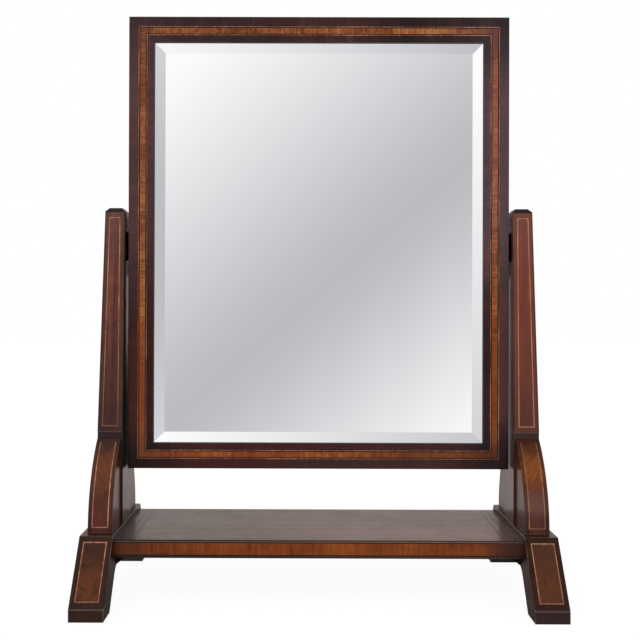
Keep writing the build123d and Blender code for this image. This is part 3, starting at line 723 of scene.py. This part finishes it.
def newTree(name, inputs):
    # a Geometry Nodes tree with named inputs, and the identifier of each
    tree = bpy.data.node_groups.new(name, "GeometryNodeTree")
    tree.interface.new_socket("Geometry", in_out="INPUT", socket_type="NodeSocketGeometry")
    tree.interface.new_socket("Geometry", in_out="OUTPUT", socket_type="NodeSocketGeometry")
    keys = {}
    for label, kind in inputs.items():
        keys[label] = tree.interface.new_socket(label, in_out="INPUT", socket_type="NodeSocket" + kind).identifier
    entry = tree.nodes.new("NodeGroupInput")
    return tree, keys, entry


def closeTree(tree, geometry, entry):
    realized = newNode(tree, "GeometryNodeRealizeInstances", {0: geometry})
    painted = newNode(tree, "GeometryNodeSetMaterial", {
        "Geometry": realized.outputs[0], "Material": entry.outputs["Finish"]})
    newNode(tree, "NodeGroupOutput", {0: painted.outputs[0]})


def grown(name, startMesh, tree, keys, values):
    # runs the tree once and keeps its result as a plain mesh
    piece = bpy.data.objects.new(name, startMesh)
    scene.collection.objects.link(piece)
    modifier = piece.modifiers.new(name, "NODES")
    modifier.node_group = tree
    for label, value in values.items():
        modifier[keys[label]] = value
    bpy.context.view_layer.update()
    finished = bpy.data.meshes.new_from_object(piece.evaluated_get(bpy.context.evaluated_depsgraph_get()))
    piece.modifiers.remove(modifier)
    piece.data = finished
    return piece


def lowered(tree, piece, height):
    return newNode(tree, "GeometryNodeTransform", {
        "Geometry": piece.outputs[0], "Translation": joinPlace(tree, z=height)})


def plateTree():
    # the bevelled plate: a slab whose front is drawn in to leave four sloping facets
    tree, keys, entry = newTree("bevelledPlate", {
        "Width": "Float", "Height": "Float", "Thickness": "Float", "Bevel Width": "Float", "Bevel Drop": "Float",
        "Place": "Vector", "Finish": "Material"})
    width, height = entry.outputs["Width"], entry.outputs["Height"]
    thickness, drop = entry.outputs["Thickness"], entry.outputs["Bevel Drop"]
    body = calc(tree, "SUBTRACT", thickness, drop)
    slab = newNode(tree, "GeometryNodeMeshCube", {"Size": joinPlace(tree, width, body, height)})
    facing = splitPlace(tree, newNode(tree, "GeometryNodeInputNormal").outputs[0])[1]
    front = calc(tree, "LESS_THAN", facing, -0.5)
    grownFront = newNode(tree, "GeometryNodeExtrudeMesh", {
        "Mesh": slab.outputs["Mesh"], "Selection": front, "Offset Scale": drop, "Individual": False}, mode="FACES")
    inset = times(tree, entry.outputs["Bevel Width"], 2.0)
    shrinkX = calc(tree, "DIVIDE", calc(tree, "SUBTRACT", width, inset), width)
    shrinkZ = calc(tree, "DIVIDE", calc(tree, "SUBTRACT", height, inset), height)
    here = newNode(tree, "GeometryNodeInputPosition").outputs[0]
    x, y, z = splitPlace(tree, here)
    drawnIn = joinPlace(tree, times(tree, x, shrinkX), y, times(tree, z, shrinkZ))
    shaped = newNode(tree, "GeometryNodeSetPosition", {
        "Geometry": grownFront.outputs["Mesh"], "Selection": grownFront.outputs["Top"], "Position": drawnIn})
    placed = newNode(tree, "GeometryNodeTransform", {
        "Geometry": shaped.outputs[0], "Translation": entry.outputs["Place"]})
    closeTree(tree, placed.outputs[0], entry)
    return tree, keys


plateLow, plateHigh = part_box("mirror_glass")
plateSize = plateHigh - plateLow
bevelTree, bevelKeys = plateTree()
bodyMiddle = (plateLow.y + plate["bevelDrop"] + plateHigh.y) / 2
bevelledPlate = grown("bevelledPlate", bpy.data.meshes.new("bevelledPlate"), bevelTree, bevelKeys, {
    "Width": plateSize.x, "Height": plateSize.z, "Thickness": plateSize.y,
    "Bevel Width": plate["bevelWidth"], "Bevel Drop": plate["bevelDrop"],
    "Place": (0.0, bodyMiddle, (plateLow.z + plateHigh.z) / 2), "Finish": plateFinish})
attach(bevelledPlate, "mirror")
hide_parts("mirror_glass")
print("bevelled plate ground,", len(bevelledPlate.data.polygons), "faces")


def screwTree():
    # countersunk slotted screws on points, each turned by its own amount
    tree, keys, entry = newTree("slottedScrews", {
        "Head Radius": "Float", "Head Height": "Float", "Shank Radius": "Float", "Length": "Float",
        "Rim": "Float", "Slot Width": "Float", "Slot Depth": "Float", "Turn Seed": "Int", "Finish": "Material"})
    headRadius, rim = entry.outputs["Head Radius"], entry.outputs["Rim"]
    headHeight, shankRadius = entry.outputs["Head Height"], entry.outputs["Shank Radius"]
    coneHeight = calc(tree, "SUBTRACT", headHeight, rim)
    cone = newNode(tree, "GeometryNodeMeshCone", {
        "Vertices": 32, "Radius Top": headRadius, "Radius Bottom": shankRadius, "Depth": coneHeight})
    coneDown = lowered(tree, cone, times(tree, headHeight, -1.0))
    lip = newNode(tree, "GeometryNodeMeshCone", {
        "Vertices": 32, "Radius Top": calc(tree, "SUBTRACT", headRadius, rim), "Radius Bottom": headRadius,
        "Depth": rim})
    lipDown = lowered(tree, lip, times(tree, rim, -1.0))
    head = newNode(tree, "GeometryNodeMeshBoolean", operation="UNION")
    tree.links.new(coneDown.outputs[0], head.inputs["Mesh 2"])
    tree.links.new(lipDown.outputs[0], head.inputs["Mesh 2"])
    cutter = newNode(tree, "GeometryNodeMeshCube", {"Size": joinPlace(
        tree, times(tree, headRadius, 3.0), entry.outputs["Slot Width"],
        times(tree, entry.outputs["Slot Depth"], 2.0))})
    slotted = newNode(tree, "GeometryNodeMeshBoolean", operation="DIFFERENCE")
    tree.links.new(head.outputs["Mesh"], slotted.inputs["Mesh 1"])
    tree.links.new(cutter.outputs[0], slotted.inputs["Mesh 2"])
    shankLength = calc(tree, "SUBTRACT", entry.outputs["Length"], headHeight)
    shank = newNode(tree, "GeometryNodeMeshCylinder", {
        "Vertices": 20, "Radius": shankRadius, "Depth": shankLength})
    middle = times(tree, calc(tree, "ADD", entry.outputs["Length"], headHeight), -0.5)
    shankDown = lowered(tree, shank, middle)
    whole = newNode(tree, "GeometryNodeJoinGeometry")
    tree.links.new(slotted.outputs["Mesh"], whole.inputs[0])
    tree.links.new(shankDown.outputs[0], whole.inputs[0])
    facing = newNode(tree, "GeometryNodeInputNamedAttribute", {"Name": "facing"}, data_type="FLOAT_VECTOR")
    aligned = newNode(tree, "FunctionNodeAlignRotationToVector", {"Vector": facing.outputs["Attribute"]}, axis="Z")
    turn = newNode(tree, "FunctionNodeRandomValue", {
        2: 0.0, 3: math.pi, "Seed": entry.outputs["Turn Seed"]}, data_type="FLOAT")
    spun = newNode(tree, "FunctionNodeRotateRotation", {"Rotation": aligned.outputs[0]}, rotation_space="LOCAL")
    tree.links.new(joinPlace(tree, z=turn.outputs[1]), spun.inputs["Rotate By"])
    driven = newNode(tree, "GeometryNodeInstanceOnPoints", {
        "Points": entry.outputs["Geometry"], "Instance": whole.outputs[0], "Rotation": spun.outputs[0]})
    closeTree(tree, driven.outputs[0], entry)
    return tree, keys


screws = {
    "plate": {"Head Radius": 0.0032, "Head Height": 0.0017, "Shank Radius": 0.0016, "Length": 0.015,
              "Rim": 0.0002, "Slot Width": 0.0007, "Slot Depth": 0.0006},
    "back": {"Head Radius": 0.0024, "Head Height": 0.0014, "Shank Radius": 0.0012, "Length": 0.010,
             "Rim": 0.00015, "Slot Width": 0.0006, "Slot Depth": 0.0005},
    "pivotHeight": 0.38475, "plateSpacing": 0.054, "postInner": 0.2175,
    "backInset": 0.0177, "backFace": 0.01, "perStile": 4, "perRail": 3,
}
screwNodes, screwKeys = screwTree()


def drive(name, node, body, kind, places, seed):
    mesh = bpy.data.meshes.new(name)
    mesh.from_pydata([place for place, facing in places], [], [])
    facings = mesh.attributes.new("facing", "FLOAT_VECTOR", "POINT")
    for index, (place, facing) in enumerate(places):
        facings.data[index].vector = facing
    values = dict(screws[kind])
    values["Turn Seed"] = seed
    values["Finish"] = brassFinish
    piece = grown(name, mesh, screwNodes, screwKeys, values)
    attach(piece, body)
    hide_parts(node)
    print(name, "driven,", len(places), "screws,", len(piece.data.polygons), "faces")


plateScrewHeights = [screws["pivotHeight"] + side * screws["plateSpacing"] / 2 for side in (-1, 1)]
halfWidth = frameSizes["halfWidth"]
drive("framePlateScrews", "frame_plate_screws", "mirror", "plate",
      [((side * halfWidth, 0, z), (side, 0, 0)) for side in (-1, 1) for z in plateScrewHeights], 4)
drive("postPlateScrews", "post_plate_screws", "stand", "plate",
      [((side * screws["postInner"], 0, z), (-side, 0, 0)) for side in (-1, 1) for z in plateScrewHeights], 9)


def backScrewPlaces():
    inset = screws["backInset"]
    foot, top = frameSizes["foot"] + inset, frameSizes["top"] - inset
    places = []
    for side in (-1, 1):
        for i in range(screws["perStile"]):
            z = foot + (i + 0.5) / screws["perStile"] * (top - foot)
            places.append(((side * (halfWidth - inset), screws["backFace"], z), (0, 1, 0)))
    for z in (foot, top):
        for i in range(screws["perRail"]):
            x = -halfWidth + inset + (i + 0.5) / screws["perRail"] * 2 * (halfWidth - inset)
            places.append(((x, screws["backFace"], z), (0, 1, 0)))
    return places


drive("backboardScrews", "backboard_screws", "mirror", "back", backScrewPlaces(), 2)

stage = {"floorReach": 7.0, "floorDrop": 0.0002, "glow": 0.86, "glowStrength": 1.09,
         "floorColour": (0.80, 0.80, 0.80, 1.0),
         "keyPlace": (-1.1, -1.9, 1.9), "keySize": 1.6, "keyPower": 22.0,
         "fillPlace": (1.6, -1.2, 1.2), "fillSize": 1.2, "fillPower": 5.0, "roomLight": 0.62,
         "lampAim": (0, 0, 0.3)}


def layFloor():
    reach = stage["floorReach"]
    mesh = bpy.data.meshes.new("paleFloor")
    corners = [(-reach, -reach), (reach, -reach), (reach, reach), (-reach, reach)]
    mesh.from_pydata([(x, y, -stage["floorDrop"]) for x, y in corners], [], [(0, 1, 2, 3)])
    floor = bpy.data.objects.new("paleFloor", mesh)
    scene.collection.objects.link(floor)
    material = bpy.data.materials.new("paleFloor")
    material.use_nodes = True
    tree = material.node_tree
    tree.nodes.clear()
    ray = tree.nodes.new("ShaderNodeLightPath")
    paper = newNode(tree, "ShaderNodeBsdfDiffuse", {"Color": stage["floorColour"]})
    glow = newNode(tree, "ShaderNodeEmission", {"Strength": stage["glowStrength"]})
    bright = times(tree, ray.outputs["Is Camera Ray"], stage["glow"])
    seen = newNode(tree, "ShaderNodeMixShader", {0: bright, 1: paper.outputs[0], 2: glow.outputs[0]})
    clear = newNode(tree, "ShaderNodeBsdfTransparent")
    shiny = calc(tree, "MAXIMUM", ray.outputs["Is Glossy Ray"], ray.outputs["Is Transmission Ray"])
    polished = newNode(tree, "ShaderNodeMixShader", {0: shiny, 1: seen.outputs[0], 2: clear.outputs[0]})
    newNode(tree, "ShaderNodeOutputMaterial", {0: polished.outputs[0]})
    mesh.materials.append(material)


layFloor()

room = {"valley": 0.005, "lean": 1.136, "dimmest": 0.526, "leftSlope": 1.26, "rightSlope": 1.59, "softness": 0.069,
        "tableLow": -0.27, "tableHigh": -0.21, "tableLevel": 0.10, "wallLevel": 0.95,
        "leftDim": 0.073, "leftBend": 2.75, "leftLevel": 0.527, "rightRise": 0.757, "rightLevel": 0.802,
        "topFall": -1.08, "topLeast": 0.42, "leftEdge": (-0.27, -0.33), "rightEdge": (0.30, 0.36),
        "topEdge": (0.38, 0.44), "footEdge": (-0.26, -0.32)}


def lightRoom():
    # white to the camera; polished surfaces see a soft studio with a dim band leaning across it
    world = bpy.data.worlds.new("studio")
    scene.world = world
    world.use_nodes = True
    tree = world.node_tree
    tree.nodes.clear()
    ray = tree.nodes.new("ShaderNodeLightPath")
    direction = tree.nodes.new("ShaderNodeTexCoord").outputs["Generated"]
    x, y, z = splitPlace(tree, direction)
    ahead = calc(tree, "MAXIMUM", times(tree, y, -1.0), 0.05)
    across, up = calc(tree, "DIVIDE", x, ahead), calc(tree, "DIVIDE", z, ahead)
    slant = calc(tree, "SUBTRACT", calc(tree, "MULTIPLY_ADD", up, -room["lean"], across), room["valley"])
    rounded = calc(tree, "SQRT", calc(tree, "MULTIPLY_ADD", slant, slant, room["softness"] ** 2))
    away = calc(tree, "SUBTRACT", rounded, room["softness"])
    leftSide = times(tree, calc(tree, "SUBTRACT", away, slant), room["leftSlope"] / 2)
    rightSide = times(tree, calc(tree, "ADD", away, slant), room["rightSlope"] / 2)
    value = calc(tree, "ADD", calc(tree, "ADD", leftSide, rightSide), room["dimmest"], clamp=True)
    # what the four bevels look towards
    fromDim = calc(tree, "SUBTRACT", up, room["leftDim"])
    leftLook = calc(tree, "MULTIPLY_ADD", times(tree, fromDim, fromDim), room["leftBend"], room["leftLevel"])
    rightLook = calc(tree, "MULTIPLY_ADD", up, room["rightRise"], room["rightLevel"], clamp=True)
    topLevel = rise(tree, up, -0.30, 0.40, 0.819, 0.776)
    topLook = calc(tree, "MULTIPLY_ADD", across, room["topFall"], topLevel, clamp=True)
    topLook = calc(tree, "MAXIMUM", topLook, room["topLeast"])
    for look, gauge, edge in ((leftLook, across, "leftEdge"), (rightLook, across, "rightEdge"),
                              (topLook, up, "topEdge"), (topLook, up, "footEdge")):
        share = rise(tree, gauge, *room[edge])
        value = mixed(tree, share, value, look)
    # behind the object the room is bright down to the edge of a dark table
    behind = rise(tree, y, -0.10, 0.25)
    table = rise(tree, z, room["tableLow"], room["tableHigh"], room["tableLevel"], room["wallLevel"])
    value = mixed(tree, behind, value, table)
    shiny = calc(tree, "MAXIMUM", ray.outputs["Is Glossy Ray"], ray.outputs["Is Transmission Ray"])
    soft = mixed(tree, shiny, stage["roomLight"], value)
    camera = ray.outputs["Is Camera Ray"]
    strength = calc(tree, "ADD", times(tree, soft, inverse(tree, camera)), camera)
    # the dim parts of the room are slightly blue, and what lies behind the object is warm
    cool = times(tree, shiny, rise(tree, value, 0.50, 1.0, 1.0, 0.0))
    tint = blendColour(tree, cool, (1.0, 1.0, 1.0, 1.0), (0.99, 1.0, 1.05, 1.0))
    warm = times(tree, shiny, behind)
    back = newNode(tree, "ShaderNodeBackground", {
        "Color": blendColour(tree, warm, tint, (0.98, 0.87, 0.84, 1.0)), "Strength": strength})
    newNode(tree, "ShaderNodeOutputWorld", {0: back.outputs[0]})


lightRoom()


def addLamp(name, place, size, power):
    lamp = bpy.data.lights.new(name, "AREA")
    lamp.size = size
    lamp.energy = power
    piece = bpy.data.objects.new(name, lamp)
    scene.collection.objects.link(piece)
    towards = Vector(stage["lampAim"]) - Vector(place)
    piece.matrix_world = Matrix.Translation(place) @ towards.to_track_quat("-Z", "Y").to_matrix().to_4x4()
    piece.visible_glossy = False


addLamp("keyLamp", stage["keyPlace"], stage["keySize"], stage["keyPower"])
addLamp("fillLamp", stage["fillPlace"], stage["fillSize"], stage["fillPower"])

view = {"place": (-0.0141, -1.0114, 0.3180), "yaw": -0.0021, "pitch": -0.0034, "roll": 0.0030,
        "lens": 50.0, "sensor": 36.0, "shiftX": 0.0249, "shiftY": -0.0275}


def setCamera():
    yaw, pitch, roll = view["yaw"], view["pitch"], view["roll"]
    ahead = Vector((math.sin(yaw) * math.cos(pitch), math.cos(yaw) * math.cos(pitch), -math.sin(pitch)))
    right = Vector((math.cos(yaw), -math.sin(yaw), 0))
    upward = Vector((math.sin(pitch) * math.sin(yaw), math.sin(pitch) * math.cos(yaw), math.cos(pitch)))
    axisX = math.cos(roll) * right + math.sin(roll) * upward
    axisY = math.cos(roll) * upward - math.sin(roll) * right
    turn = Matrix((axisX, axisY, -ahead)).transposed().to_4x4()
    lens = bpy.data.cameras.new("photographer")
    lens.lens = view["lens"]
    lens.sensor_width = view["sensor"]
    lens.shift_x, lens.shift_y = view["shiftX"], view["shiftY"]
    camera = bpy.data.objects.new("photographer", lens)
    scene.collection.objects.link(camera)
    camera.matrix_world = Matrix.Translation(view["place"]) @ turn
    scene.camera = camera


setCamera()
scene.view_settings.view_transform = "Standard"
print("studio ready")
